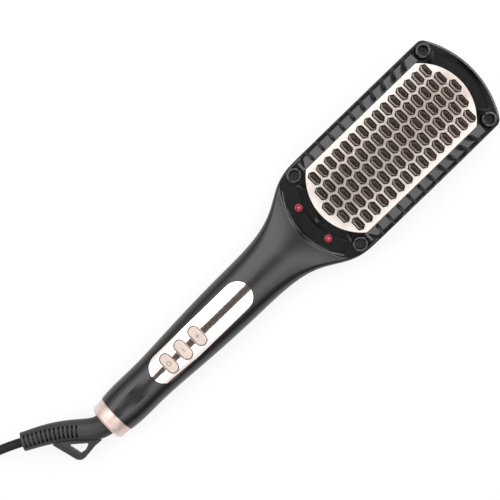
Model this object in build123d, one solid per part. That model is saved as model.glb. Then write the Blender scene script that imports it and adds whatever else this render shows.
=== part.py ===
from build123d import *
import os
from math import asin, degrees, pi, radians, sqrt, tan

os.makedirs("parts", exist_ok=True)

# A heated hair straightening brush, lying on its back. +Y runs along the handle to the tip of the
# head, +Z is the way the teeth point, z = 0 is the surface it lies on. Millimetres.

# body
tip_y = 145.0
tail_y = -145.0
parting_z = 11.5            # the plane where the back and front mouldings meet
wall = 2.4
head_width = 65.6
head_start_y = 37.0         # above here the head has straight sides
head_arc_radius = 58.0
head_corner_radius = 5.0
head_low_radius = 4.6       # rounding of the head's back edge
head_high_radius = 1.6

# crown: plate, ledge and rim follow one long arc, and the guard spikes stand square to it
crown_radius = 350.0
crown_y = 84.0
crown_z = 23.4              # top of the plate at the middle of the crown
rim_drop = 1.0              # the rim lies this far below the plate's top


def crown_height(y, drop=0.0):
    """Height of the crown, or of a surface that lies below it, at a place along the head."""
    radius = crown_radius - drop
    return crown_z - crown_radius + sqrt(radius**2 - (y - crown_y) ** 2)


# sections of neck and handle: (y, width, height, rounding of the back, rounding of the front,
# arch of the front as one over its radius)
head_arch = 0.0005
body_sections = [
    (53.0, head_width, crown_height(53.0, rim_drop), head_low_radius, head_high_radius, head_arch),
    (45.0, head_width, crown_height(45.0, rim_drop), head_low_radius, head_high_radius, head_arch),
    (head_start_y, head_width, crown_height(head_start_y, rim_drop), head_low_radius, head_high_radius,
     head_arch),
    (30.0, 65.0, crown_height(30.0, rim_drop), 4.7, 1.7, head_arch),
    (23.0, 62.2, 17.5, 5.0, 2.2, 0.0008),
    (15.0, 54.6, 16.8, 5.6, 2.8, 0.003),
    (7.0, 45.4, 17.0, 6.4, 3.8, 0.010),
    (-1.0, 38.6, 18.6, 7.6, 5.4, 0.019),
    (-12.0, 33.9, 21.9, 9.6, 7.6, 0.028),
    (-28.0, 31.7, 25.4, 11.6, 9.6, 0.036),
    (-50.0, 31.3, 27.0, 12.0, 10.5, 0.038),
    (-75.0, 29.0, 26.6, 12.0, 10.5, 0.040),
    (-105.0, 26.0, 25.4, 12.0, 10.5, 0.044),
    (-136.4, 24.4, 24.4, 11.8, 11.6, 0.060),
]
handle_end_y = -136.4
flare_start_y = 45.0        # the neck's sections start a little way up the straight head
flare_step = 6.0
flare_steps = 11
grip_steps = 5
tail_axis_z = 12.2

# face plate and its holes
plate_width = 49.4
plate_low_y = 25.3
plate_high_y = 134.8
plate_arc_radius = 31.8
plate_thickness = 2.0
plate_gap = 0.15
tooth_pitch_y = 6.23
tooth_pitch_x = 8.9
teeth_in_column = [15, 16, 17, 16, 15]
teeth_middle_y = 80.6
hole_length = 9.1
hole_flat = 6.0             # length of the hole's straight edges
hole_width = 5.0
hole_rounding = 1.0         # of its two pointed ends

# teeth
casting_low_z = 12.4
casting_drop = 3.4          # top of the casting below the plate's top
tooth_shoulder = 3.2        # height over the plate where the metal ends and the cap begins
tooth_height = 6.5
tooth_root = (8.2, 5.0, 3.7)        # length, straight part and width at the casting
tooth_taper = 3.0           # degrees
cap_overlap = 0.3
cap_taper = 2.0
cap_crest = 0.9             # height of the sloping roof at the cap's top
cap_slope = 50.0            # degrees off upright

# frame round the plate
lip_y = 9.9                 # lowest point of the seam between frame and neck
lip_radius = 45.1
rim = 1.5
ledge_drop = 3.8
ledge_reach = 9.0           # how far the ledge runs out from the plate
low_ledge_reach = 6.0       # the same below the lower bosses
ledge_floor = 2.0
plate_seat = 0.9
boss_x = 27.0
boss_y = (30.0, 131.4)
boss_radius = 3.8
boss_drop = 1.4
screw_recess_radius = 2.85
screw_seat_z = 14.6
handle_screw_y = (3.0, -112.4)
guard_count = 10
guard_pitch = 8.15
guard_middle_y = 80.3
guard_height = 11.6         # over the plate's top
guard_foot_x = 27.2
guard_tip_x = 31.6
guard_foot = (3.8, 2.3)
guard_tip = (1.2, 0.9)
lamp_x = 12.1
lamp_y = 19.2
lamp_radius = 2.4
lamp_low_z = 11.4

# controls
panel_width = 17.7
panel_high_y = -32.0
panel_low_y = -106.6
panel_thickness = 1.4
panel_stand = 0.25
button_y = {"power_button": -94.2, "minus_button": -83.1, "plus_button": -72.0}
button_length = 12.2
button_width = 6.0
button_gap = 0.15
button_travel = 0.6
ring_border = 0.75
board_z = 17.0
board_thickness = 1.2
switch_height = 1.55        # board to the top of a switch's key

# tail, cord guard and cord
ring_radius = 11.9
ring_end_radius = 11.4
contact_y = (-124.5, -129.0)
stem_radius = 7.0
stem_gap = 0.3
guard_knee = [(0.0, -149.3), (-16.85, -168.9)]      # corners of the guard's middle line
guard_end = (-25.7, -186.3)
guard_knee_radii = [20.0, 85.0]
guard_end_radius = 5.55
guard_sections = 11
slot_count = 13
slot_pitch = 2.5
slot_width = 1.1
slot_length = 7.0
slot_core_radius = 3.9
cord_diameter = 5.4
cord_radius = cord_diameter / 2
loop_thickness = 4.6
loop_outer = [(-3.0, -153.0), (4.9, -153.5), (4.6, -157.5), (5.9, -170.1), (-12.4, -175.1),
              (-14.0, -168.0)]
loop_inner = [(1.0, -159.4), (2.5, -163.5), (2.0, -166.8), (-6.9, -168.9)]
loop_corner_radius = 4.5
loop_grooves = [1.0, 2.1]   # distances of the two grooves from the loop's outer edge
groove_size = 0.5

coil_centre = (-12.0, -282.0)
coil_mean_radius = 32.0
coil_band = 3.1 * cord_diameter
coil_height = 15.6
tie_thickness = 0.9
tie_width = 8.0
plug_nose = (-20.0, -340.0)      # where the cord enters the plug, which points along +X
plug_length = 34.0
pin_length = 19.0
pin_radius = 2.0
pin_spread = 19.0


def save(name, shape):
    export_step(shape, f"parts/{name}.step")


def group(solids):
    return Compound(children=list(solids))


def obround(length, width):
    return SlotOverall(length, width)


def between(low_z, high_z):
    """A slab that covers the whole brush between two heights."""
    return Pos(0, 0, (low_z + high_z) / 2) * Box(200, 500, high_z - low_z)


def upright(sketch, low_z, high_z):
    """Raise a plan outline between two heights."""
    return Pos(0, 0, low_z) * extrude(sketch, high_z - low_z)


def under_crown(drop):
    """Everything below the crown, or below a surface that lies under it."""
    return Pos(0, crown_y, crown_z - crown_radius) * Rot(0, 90, 0) * Cylinder(crown_radius - drop, 160)


def crowned(sketch, low_drop, high_drop):
    """A plan outline between two surfaces under the crown."""
    return upright(sketch, 0, crown_z + 20) & (under_crown(high_drop) - under_crown(low_drop))


def on_plate(x, y):
    """A place on the plate's top, upright, as the teeth are cast."""
    return Pos(x, y, crown_height(y))


def on_crown(x, y):
    """A place on the plate's top, turned square to the crown."""
    turn = degrees(asin((y - crown_y) / crown_radius))
    return Pos(0, crown_y, crown_z - crown_radius) * Rot(-turn, 0, 0) * Pos(x, 0, crown_radius)


def post(x, y, radius, low_z, high_z):
    return Pos(x, y, (low_z + high_z) / 2) * Cylinder(radius, high_z - low_z)


def cube(x, y, z, size_x, size_y, size_z):
    return Pos(x, y, z) * Box(size_x, size_y, size_z)


def along_y(radius, low_y, high_y, x=0.0, z=tail_axis_z):
    """A round bar along the handle's axis."""
    return Pos(x, (low_y + high_y) / 2, z) * Rot(90, 0, 0) * Cylinder(radius, high_y - low_y)


# ---- outer form -------------------------------------------------------------------------------

def cross_section(y, width, height, back_radius, front_radius, arch, inset):
    plane = Plane(origin=(0, y, height / 2), x_dir=(1, 0, 0), z_dir=(0, -1, 0))
    arch_radius = 1 / arch - inset
    top = height / 2 - inset
    face = Rectangle(width - 2 * inset, 2 * top) & Pos(0, -(top - arch_radius)) * Circle(arch_radius)
    face = plane * Rot(0, 0, 180) * face
    face = fillet(face.vertices().sort_by(Axis.Z)[:2], max(back_radius - inset, 0.6))
    return fillet(face.vertices().sort_by(Axis.Z)[-2:], max(front_radius - inset, 0.6))


def head_outline(inset=0.0):
    low_y = head_start_y
    high_y = tip_y - inset
    sides = Pos(0, (low_y + high_y) / 2) * Rectangle(head_width - 2 * inset, high_y - low_y)
    radius = head_arc_radius - inset
    outline = sides & Pos(0, high_y - radius) * Circle(radius)
    return fillet(outline.vertices().sort_by(Axis.Y)[-2:], max(head_corner_radius - inset, 1.0))


def rounded_head(inset):
    """The head's block, with the round edges of back and rim, open towards the neck."""
    block = upright(head_outline(inset), inset, crown_z + 10) & under_crown(rim_drop + inset)
    clear = head_start_y + 0.01
    outside = block.edges().filter_by(lambda edge: edge.center().Y > clear)
    back = outside.filter_by_position(Axis.Z, inset - 0.01, inset + 0.01)
    block = fillet(back, max(head_low_radius - inset, 0.6))
    top = block.faces().sort_by(Axis.Z)[-1].edges().filter_by(lambda edge: edge.center().Y > clear)
    return fillet(top, max(head_high_radius - inset, 0.6))


def handle_form(inset=0.0):
    """The outer form of neck and handle, moved in by the inset."""
    return loft([cross_section(*station(y), inset) for y in station_places()])


def body_form(inset=0.0):
    return handle_form(inset) + rounded_head(inset)


def station_places():
    """Places of the loft's sections: close together in the flare, wide apart on the handle."""
    flare = [flare_start_y - flare_step * number for number in range(flare_steps)]
    rest = [flare[-1] + (handle_end_y - flare[-1]) * (number + 1) / grip_steps
            for number in range(grip_steps)]
    return flare + rest


def station(y):
    """The section at a place: a smooth curve through the given ones."""
    known = sorted(body_sections)
    low = sum(place[0] <= y for place in known[1:-1])
    start, end = known[low], known[low + 1]
    span = end[0] - start[0]
    share = (y - start[0]) / span

    def slope(number, size):
        before = known[max(number - 1, 0)]
        after = known[min(number + 1, len(known) - 1)]
        return (after[size] - before[size]) / (after[0] - before[0]) * span

    sizes = [y]
    for size in range(1, len(start)):
        rise = end[size] - start[size]
        enter, leave = slope(low, size), slope(low + 1, size)
        bend = enter * (1 - share) - leave * share + rise * (2 * share - 1)
        sizes.append(start[size] + rise * share + bend * share * (1 - share))
    return sizes


def plate_outline(offset=0.0):
    """The plate's plan: straight sides, and an arc at each end."""
    half = plate_width / 2 + offset
    radius = plate_arc_radius + offset
    high_y, low_y = plate_high_y + offset, plate_low_y - offset
    drop = radius - sqrt(radius**2 - half**2)
    edges = Line((-half, low_y + drop), (-half, high_y - drop))
    edges += ThreePointArc((-half, high_y - drop), (0, high_y), (half, high_y - drop))
    edges += Line((half, high_y - drop), (half, low_y + drop))
    edges += ThreePointArc((half, low_y + drop), (0, low_y), (-half, low_y + drop))
    return make_face(edges)


def frame_zone(low_z, high_z):
    """Everything above the curved seam between the frame and the neck."""
    plan = Pos(0, lip_y + lip_radius) * Circle(lip_radius)
    plan += Pos(0, lip_y + lip_radius + 60) * Rectangle(100, 120)
    return upright(plan, low_z, high_z)


# ---- mouldings --------------------------------------------------------------------------------

def make_lamp(x):
    """A round-topped lens with a flange that keeps it in the frame."""
    top = crown_height(lamp_y, rim_drop) + 0.5
    lens = post(x, lamp_y, lamp_radius, lamp_low_z, top)
    lens = fillet(lens.edges().sort_by(Axis.Z)[-1], 0.8)
    return lens + post(x, lamp_y, lamp_radius + 0.8, lamp_low_z, lamp_low_z + 1.0)


def button_places():
    return [(0, y) for y in button_y.values()]


def make_back_shell(outer, inner):
    shell = (outer - inner) & between(-1, parting_z)
    for x in (-boss_x, boss_x):
        for y in boss_y:
            shell += post(x, y, 3.0, 1.6, parting_z)
            shell -= post(x, y, 1.25, 3.0, parting_z)
    for y in handle_screw_y:
        shell += post(0, y, 3.2, 1.6, parting_z)
        shell -= post(0, y, 2.3, -1, 3.4)
        shell -= post(0, y, 1.0, 3.0, parting_z + 1)
    for y in (52.0, 110.0):
        for x in (-19.0, 19.0):
            shell += cube(x, y, 5.4, 2.0, 8.0, 7.4)
    return shell


def make_front_shell(outer, inner):
    shell = (outer - inner) & between(parting_z, 40)
    shell -= frame_zone(0, 40)
    window = panel_slot(plate_gap) & between(parting_z, 40)
    shell -= window - handle_form(panel_thickness + 0.05)
    for x, y in button_places():
        hole = Pos(x, y) * obround(button_length + 0.7, button_width + 0.7)
        shell -= upright(hole, parting_z, 40)
    for y in handle_screw_y:
        shell += post(0, y, 3.2, parting_z, handle_top_z(y) - 1.2)
        shell -= post(0, y, 1.0, parting_z - 1, 14.6)
    return shell


def make_head_frame(outer, inner):
    """The frame round the plate: rim, sunk ledge, plate seat, screw bosses and lamp holes."""
    frame = outer & frame_zone(parting_z, 40) & under_crown(rim_drop + 0.15)
    frame -= crowned(plate_outline(plate_gap), plate_thickness, -10)
    frame -= upright(plate_outline(-plate_seat), 0, 40)
    ledge = head_outline(rim) + Pos(0, head_start_y - 15) * Rectangle(head_width - 2 * rim, 30.02)
    below = Pos(0, boss_y[0] - 50) * Rectangle(100, 100)
    ledge &= (plate_outline(ledge_reach) - below) + (plate_outline(low_ledge_reach) & below)
    frame -= crowned(ledge - plate_outline(plate_gap), ledge_drop, -10)
    frame -= inner & under_crown(ledge_drop + ledge_floor)
    for x in (-boss_x, boss_x):
        for y in boss_y:
            frame += post(x, y, boss_radius, parting_z, 30) & under_crown(boss_drop)
            frame -= post(x, y, screw_recess_radius, screw_seat_z, 40)
            frame -= post(x, y, 1.4, 0, 40)
    for x in (-lamp_x, lamp_x):
        frame -= post(x, lamp_y, lamp_radius + 0.1, 0, 40)
        frame -= post(x, lamp_y, lamp_radius + 1.0, 0, lamp_low_z + 1.2)
    return frame


def guard_fin(lean):
    """One blunt guard spike, on the plate's top as height 0: it narrows both ways to a small tip."""
    foot_x, foot_y = (size / 2 for size in guard_foot)
    tip_x, tip_y_half = (size / 2 for size in guard_tip)
    side_view = Polygon((-foot_x, -ledge_drop), (foot_x, -ledge_drop), (foot_x + 0.3 * lean, 1.0),
                        (lean + tip_x, guard_height), (lean - tip_x, guard_height),
                        (-foot_x + 0.3 * lean, 1.0), align=None)
    end_view = Polygon((-foot_y, -ledge_drop), (foot_y, -ledge_drop), (tip_y_half, guard_height),
                       (-tip_y_half, guard_height), align=None)
    blade = extrude(Plane.XZ * side_view, foot_y, both=True)
    blade &= extrude(Plane.YZ * end_view, 3 * foot_x, both=True)
    return chamfer(blade.faces().sort_by(Axis.Z)[-1].edges(), 0.3)


def make_guard_fins():
    fins = []
    lean = guard_tip_x - guard_foot_x
    for side in (-1, 1):
        for number in range(guard_count):
            y = guard_middle_y + (number - (guard_count - 1) / 2) * guard_pitch
            fins.append(on_crown(side * guard_foot_x, y) * guard_fin(side * lean))
        fins.append(on_crown(side * 20.2, 131.4) * guard_fin(side * lean / 2))
        fins.append(on_crown(side * 19.2, 28.2) * guard_fin(side * lean / 2))
    fins.append(on_crown(0, 22.2) * guard_fin(0))
    return group(fins)


# ---- plate, teeth and heater ------------------------------------------------------------------

def tooth_places():
    """Centres of all the teeth: staggered columns about the middle of the plate."""
    places = []
    for column, count in enumerate(teeth_in_column):
        x = (column - (len(teeth_in_column) - 1) / 2) * tooth_pitch_x
        for number in range(count):
            y = teeth_middle_y + (number - (count - 1) / 2) * tooth_pitch_y
            places.append((x, y))
    return places


def long_hexagon(length, flat, width):
    half, straight, side = length / 2, flat / 2, width / 2
    corners = [(-half, 0), (-straight, -side), (straight, -side)]
    corners += [(-x, -y) for x, y in corners]
    return Polygon(*corners, align=None)


def make_face_plate():
    """The honeycomb plate, with one long hexagonal hole for each tooth."""
    plate = crowned(plate_outline(), plate_thickness, 0)
    plan = long_hexagon(hole_length, hole_flat, hole_width)
    ends = [plan.vertices().sort_by(Axis.X)[number] for number in (0, -1)]
    hole = extrude(fillet(ends, hole_rounding), 3, both=True)
    return plate - [on_plate(x, y) * hole for x, y in tooth_places()]


def make_casting():
    """The heater's slab: crowned on top and flat below, where the heater strips press on it."""
    return upright(plate_outline(-2.2), casting_low_z, 40) & under_crown(casting_drop)


def make_metal_teeth():
    """The tapered metal teeth that stand on the slab and carry the heat into the hair."""
    root = Pos(0, 0, -casting_drop - 1) * long_hexagon(*tooth_root)
    tooth = extrude(root, casting_drop + 1 + tooth_shoulder, taper=tooth_taper)
    slab = under_crown(casting_drop)
    return group([on_plate(x, y) * tooth - slab for x, y in tooth_places()])


def make_tooth_caps():
    """The cool tips: each closes its tooth with a small roof and a narrow ridge."""
    shrink = 2 * (casting_drop + 1 + tooth_shoulder) * tan(radians(tooth_taper)) - 2 * cap_overlap
    foot = Pos(0, 0, tooth_shoulder) * long_hexagon(*[size - shrink for size in tooth_root])
    cap = extrude(foot, tooth_height - tooth_shoulder - cap_crest, taper=cap_taper)
    cap += extrude(cap.faces().sort_by(Axis.Z)[-1], cap_crest, taper=cap_slope)
    return group([on_plate(x, y) * cap for x, y in tooth_places()])


def make_heater_clamp():
    """Sprung steel plate with three pairs of fingers that hook over the casting's sides."""
    plate = cube(0, 80, 7.8, 34, 92, 1.2)
    for x in (-16.4, 16.4):
        for y in (42, 80, 118):
            plate += cube(x, y, 9.8, 1.2, 12, 5.2)
    for y in (56, 106):
        plate -= post(0, y, 4.0, 0, 40)
    return plate


# ---- controls ---------------------------------------------------------------------------------

def panel_slot(gap=0.0):
    length = panel_high_y - panel_low_y + 2 * gap
    plan = Pos(0, (panel_high_y + panel_low_y) / 2) * Rot(0, 0, 90) * obround(length, panel_width + 2 * gap)
    return upright(plan, parting_z, 40)


def make_panel():
    """The glossy insert: it follows the handle's crown and stands a hair proud of it."""
    panel = (handle_form(-panel_stand) - handle_form(panel_thickness)) & panel_slot()
    for x, y in button_places():
        size = (button_length + 2 * ring_border, button_width + 2 * ring_border)
        panel -= upright(Pos(x, y) * obround(*size), parting_z, 40)
    return panel


def handle_top_z(y):
    """Height of the handle's crown at a place along it."""
    return station(y)[2]


def make_button_trim(y):
    """Polished ring that lines the button's hole in the panel."""
    top = handle_top_z(y) + 0.75
    low = handle_top_z(y) - panel_thickness + 0.15
    gap = button_gap
    outer = obround(button_length + 2 * ring_border, button_width + 2 * ring_border)
    inner = obround(button_length + 2 * gap, button_width + 2 * gap)
    ring = upright(Pos(0, y) * (outer - inner), low, top)
    crest = ring.faces().sort_by(Axis.Z)[-1].outer_wire().edges()
    return chamfer(crest, 0.3)


def make_button(y):
    """A key with a crowned top, and a foot that stops it from coming out."""
    top = handle_top_z(y) + 1.25
    key = upright(Pos(0, y) * obround(button_length, button_width), 21.2, top)
    key = fillet(key.faces().sort_by(Axis.Z)[-1].edges(), 0.7)
    foot = upright(Pos(0, y) * obround(button_length + 2.4, button_width + 1.6), 20.4, 21.4)
    switch_top_z = board_z + board_thickness + switch_height
    stem = post(0, y, 1.6, switch_top_z + button_travel + 0.05, 20.6)
    return key + foot + stem


def make_switches():
    solids = []
    for y in button_y.values():
        low = board_z + board_thickness
        body = cube(0, y, low + 0.7, 6.0, 6.0, 1.4)
        solids.append(body + post(0, y, 1.5, low + 1.0, low + switch_height))
    return group(solids)


# ---- tail, swivel and cord --------------------------------------------------------------------

def revolve_on_axis(points):
    """Turn a (distance along -Y from the handle's end, radius) outline about the tail's axis."""
    outline = Polygon(*[(radius, handle_end_y - out) for out, radius in points], align=None)
    return Pos(0, 0, tail_axis_z) * revolve(outline, Axis.Y)


def make_tail_ring():
    length = handle_end_y - tail_y
    ring = revolve_on_axis([(0, ring_radius), (length, ring_end_radius), (length, 0), (0, 0)])
    end_edge = ring.edges().filter_by(GeomType.CIRCLE).sort_by(Axis.Y)[0]
    ring = fillet(end_edge, 2.4)
    ring += along_y(9.3, handle_end_y - 0.5, handle_end_y + 5.0)
    ring -= along_y(8.3, handle_end_y - 5.1, handle_end_y + 6.0)
    return ring - along_y(stem_radius + stem_gap, tail_y - 1, handle_end_y)


def make_swivel_socket():
    socket = along_y(7.9, -134.6, -119.0)
    socket -= along_y(5.2, -135.0, -120.5)
    for y in contact_y:
        socket += cube(0, y, tail_axis_z + 8.1, 3.0, 2.4, 1.0)
    return socket


def make_swivel_core():
    core = along_y(3.0, -137.6, -121.5)
    return core + along_y(4.6, -136.6, -135.2)


def make_slip_rings():
    rings = []
    for y in contact_y:
        rings.append(along_y(4.4, y - 1.1, y + 1.1) - along_y(3.0, y - 2, y + 2))
    return group(rings)


def guard_path():
    """The guard's middle line: straight out of the ring, a bend, and a long easy curve back."""
    points = [Vector(x, y, tail_axis_z) for x, y in [(0, handle_end_y - 2.2), *guard_knee, guard_end]]
    return FilletPolyline(*points, radius=guard_knee_radii)


def guard_plane(distance):
    """A plane square to the cord guard, at a distance along its middle line."""
    path = guard_path()
    return Plane(origin=path.position_at(distance, position_mode=PositionMode.LENGTH), x_dir=(0, 0, 1),
                 z_dir=path.tangent_at(distance, position_mode=PositionMode.LENGTH))


def make_loop():
    """The flat hanging loop, with two grooves along it on both faces."""
    plan = Polygon(*loop_outer, align=None)
    corner = plan.vertices().sort_by(Axis.X)[-1]
    plan = fillet(corner, loop_corner_radius)
    window = Polygon(*loop_inner, align=None)
    loop = plan - fillet(window.vertices(), 0.7)
    loop = Pos(0, 0, tail_axis_z) * extrude(loop, loop_thickness / 2, both=True)
    for distance in loop_grooves:
        groove = offset(plan, -distance) - offset(plan, -distance - groove_size)
        for side in (-1, 1):
            loop -= Pos(0, 0, tail_axis_z + side * loop_thickness / 2) * extrude(groove, groove_size, both=True)
    return loop


def make_cord_guard():
    """The rubber guard: a flanged stem, a bend and a taper with slots across its front and back."""
    length = guard_path().length
    sections = []
    for number in range(guard_sections):
        share = number / (guard_sections - 1)
        radius = stem_radius + (guard_end_radius - stem_radius) * share
        sections.append(guard_plane(share * length) * Circle(radius))
    guard = loft(sections) + along_y(8.0, handle_end_y - 4.8, handle_end_y - 1.6)
    guard += make_loop()
    slot = Rectangle(4 * stem_radius, slot_length) - Circle(slot_core_radius)
    for number in range(slot_count):
        plane = guard_plane(length - 2.0 - number * slot_pitch)
        guard -= extrude(plane * slot, slot_width / 2, both=True)
    return guard


def cord_exit():
    """Where the cord leaves the guard; its first run starts a little inside the end face."""
    return guard_plane(guard_path().length - 0.6).origin


def tube(points):
    """A cord along straight runs joined by arcs as large as the runs allow."""
    points = [Vector(*point) for point in points]
    radii = []
    for before, here, after in zip(points, points[1:], points[2:]):
        turn = radians((here - before).get_angle(after - here))
        shorter = min((here - before).length, (after - here).length)
        radii.append(0.45 * shorter / tan(turn / 2))
    print("cord radii:", [round(radius, 1) for radius in radii])
    path = FilletPolyline(*points, radius=radii)
    first = (points[1] - points[0]).normalized()
    side = Vector(0, 0, 1).cross(first).normalized()
    solid = sweep(Plane(origin=points[0], x_dir=side, z_dir=first) * Circle(cord_radius), path=path)
    print("cord volume over section times length:", solid.volume / (pi * cord_radius**2 * path.length))
    print("cord length:", path.length)
    return solid


def lead_route():
    """From the guard down to the floor and on to the coil, which it meets on its left."""
    rest = cord_radius + 0.05
    side_x = coil_centre[0] - coil_mean_radius
    return [cord_exit(), (-29.3, -193.6, 11.4), (-34.9, -209.0, 7.6), (side_x, -231.0, rest + 0.8),
            (side_x, -256.0, rest), (side_x, coil_centre[1], rest)]


def tail_route():
    """From the coil's left side round to the plug."""
    rest = cord_radius + 0.05
    side_x = coil_centre[0] - coil_mean_radius - cord_diameter
    nose_x, nose_y = plug_nose
    return [(side_x, coil_centre[1], rest), (side_x, nose_y + 17.6, rest),
            (side_x + 6.5, nose_y + 6.4, rest + 1.2), (side_x + 17.6, nose_y, rest + 3.8),
            (nose_x + 1, nose_y, 7.5)]


def make_coil():
    half = coil_band / 2
    plan = Circle(coil_mean_radius + half) - Circle(coil_mean_radius - half)
    return Pos(*coil_centre) * upright(plan, 0.0, coil_height)


def make_cord_tie():
    """A soft tie over the coil's turns, on the side away from the cord's ends."""
    half = coil_band / 2 + tie_thickness
    plan = Circle(coil_mean_radius + half) - Circle(coil_mean_radius - half)
    plan &= Pos(coil_mean_radius, 0) * Rectangle(4 * half, tie_width)
    return Pos(*coil_centre) * upright(plan, 0, coil_height + tie_thickness) - make_coil()


def make_plug():
    """A flat two-pin plug: a round nose that widens into the grip."""
    plan = Polygon((-4.5, 0), (4.5, 0), (8.0, 10), (15.0, 18), (15.0, plug_length), (-15.0, plug_length),
                   (-15.0, 18), (-8.0, 10), align=None)
    plan = fillet(plan.vertices().sort_by(Axis.Y)[2:6], 4.0)
    body = Pos(0, 0, 0.3) * extrude(plan, 14.4)
    level = body.edges().filter_by(lambda edge: abs(edge.tangent_at(0.5).Z) < 0.1)
    body = chamfer(level.filter_by(lambda edge: edge.center().Y > 0.1), 2.0)
    return Pos(*plug_nose) * Rot(0, 0, -90) * body


def make_plug_pins():
    pins = [along_y(pin_radius, plug_length, plug_length + pin_length, side * pin_spread / 2, 7.5)
            for side in (-1, 1)]
    return Pos(*plug_nose) * Rot(0, 0, -90) * group(pins)


# ---- the whole brush --------------------------------------------------------------------------

outer = body_form()
inner = body_form(wall)
save("back_shell", make_back_shell(outer, inner))
save("handle_front_shell", make_front_shell(outer, inner))
save("head_frame", make_head_frame(outer, inner))
save("guard_fins", make_guard_fins())
save("face_plate", make_face_plate())
save("heater_casting", make_casting())
save("casting_teeth", make_metal_teeth())
save("tooth_caps", make_tooth_caps())

save("heater_strip_left", cube(-8.2, 80, 10.8, 13, 84, 3.2))
save("heater_strip_right", cube(8.2, 80, 10.8, 13, 84, 3.2))
save("mica_sheet", cube(0, 80, 8.8, 30, 90, 0.7))
save("heater_clamp", make_heater_clamp())
save("thermal_fuse", along_y(2.0, 75, 86, 0, 5.0))
save("temperature_sensor", along_y(1.2, 100, 106, 6, 5.8))

screw_head = post(0, 0, 2.5, screw_seat_z, screw_seat_z + 1.7)
screw = screw_head + post(0, 0, 1.2, 3.2, screw_seat_z)
screw -= cube(0, 0, screw_seat_z + 1.6, 3.0, 0.6, 1.4) + cube(0, 0, screw_seat_z + 1.6, 0.6, 3.0, 1.4)
save("head_screws", group([Pos(x, y) * screw for x in (-boss_x, boss_x) for y in boss_y]))

handle_screw = post(0, 0, 2.1, 1.2, 3.4) + post(0, 0, 0.95, 3.4, 14.0)
save("handle_screws", group([Pos(0, y) * handle_screw for y in handle_screw_y]))

for side, name in ((-1, "lamp_left"), (1, "lamp_right")):
    save(name, make_lamp(side * lamp_x))
save("lamp_board", cube(0, lamp_y, lamp_low_z - 0.6, 34, 7.0, 1.2))
save("ion_generator", cube(0, -16, 9.6, 18, 22, 11))
save("ion_needle", along_y(0.6, 9, 16, 0, 9))

save("control_panel", make_panel())
for name, y in button_y.items():
    save(name, make_button(y))
    save(name + "_trim", make_button_trim(y))
save("switches", make_switches())
save("control_board", cube(0, -68, board_z + board_thickness / 2, 16, 78, board_thickness))
save("power_relay", cube(0, -55, 12.0, 12, 16, 9.6))
save("capacitor", along_y(4.4, -88, -72, 0, 11.6))

save("tail_ring", make_tail_ring())
save("swivel_socket", make_swivel_socket())
save("swivel_core", make_swivel_core())
save("slip_rings", make_slip_rings())
save("cord_guard", make_cord_guard())

coil = make_coil()
plug = make_plug()
inside_guard = extrude(guard_plane(guard_path().length) * Circle(9), -10)
save("cord_lead", tube(lead_route()) - coil - inside_guard)
save("cord_coil", coil)
save("cord_tail", tube(tail_route()) - coil - plug)
save("cord_tie", make_cord_tie())
save("plug", plug)
save("plug_pins", make_plug_pins())
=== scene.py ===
import math

import bmesh
import bpy
from mathutils import Matrix, Vector
from mathutils.bvhtree import BVHTree


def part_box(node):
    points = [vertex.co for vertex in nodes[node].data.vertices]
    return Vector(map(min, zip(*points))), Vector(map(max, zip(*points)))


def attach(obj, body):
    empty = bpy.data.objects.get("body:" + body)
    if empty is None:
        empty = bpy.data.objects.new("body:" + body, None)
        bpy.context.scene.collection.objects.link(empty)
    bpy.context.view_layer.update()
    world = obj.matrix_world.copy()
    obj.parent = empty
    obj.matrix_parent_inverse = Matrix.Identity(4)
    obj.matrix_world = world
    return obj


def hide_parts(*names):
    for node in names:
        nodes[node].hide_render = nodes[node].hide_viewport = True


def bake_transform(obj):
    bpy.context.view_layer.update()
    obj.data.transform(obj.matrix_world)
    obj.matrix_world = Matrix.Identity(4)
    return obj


# Heated hair straightening brush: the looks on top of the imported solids.
# Metres: +Y runs to the tip of the head, +Z is the way the teeth point, z = 0 is the table.

mm = 0.001
crownPlan = {"radius": 350.0, "middleY": 84.0, "topZ": 23.4}       # the arc that the head's face follows

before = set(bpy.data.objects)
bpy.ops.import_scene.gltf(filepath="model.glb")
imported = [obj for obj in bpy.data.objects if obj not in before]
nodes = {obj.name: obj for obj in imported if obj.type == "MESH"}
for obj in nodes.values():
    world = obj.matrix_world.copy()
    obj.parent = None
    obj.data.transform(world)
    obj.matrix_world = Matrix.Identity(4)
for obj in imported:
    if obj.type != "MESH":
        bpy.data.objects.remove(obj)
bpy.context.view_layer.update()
print("frame loaded,", len(nodes), "nodes")


# helpers for meshes

def linkPiece(name, bm, material, body, replaced=(), sharpAngle=35.0):
    mesh = bpy.data.meshes.new(name)
    bm.to_mesh(mesh)
    bm.free()
    for face in mesh.polygons:
        face.use_smooth = True
    mesh.set_sharp_from_angle(angle=math.radians(sharpAngle))
    return placePiece(bpy.data.objects.new(name, mesh), material, body, replaced)


def placePiece(piece, material, body, replaced=()):
    bpy.context.scene.collection.objects.link(piece)
    piece.data.materials.clear()
    piece.data.materials.append(material)
    if body:                       # a piece given no body has no parent
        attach(piece, body)
    if replaced:
        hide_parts(*replaced)
    return piece


def flatFace(bm, corners, height):  # corners are (x, y) and everything is in millimetres
    return bm.faces.new([bm.verts.new((x * mm, y * mm, height * mm)) for x, y in corners])


def raiseFace(bm, face, rise, scale=(1, 1), shift=(0, 0)):
    # extrudes a level face upwards and draws its new end in about its own middle;
    # a face that ended an earlier rise stays inside the mesh
    made = bmesh.ops.extrude_face_region(bm, geom=[face])["geom"]
    corners = [part for part in made if isinstance(part, bmesh.types.BMVert)]
    middle = face.calc_center_median()
    bmesh.ops.scale(bm, verts=corners, vec=(*scale, 1), space=Matrix.Translation(-middle))
    bmesh.ops.translate(bm, verts=corners, vec=Vector((*shift, rise)) * mm)
    return next(part for part in made if isinstance(part, bmesh.types.BMFace))


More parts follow.
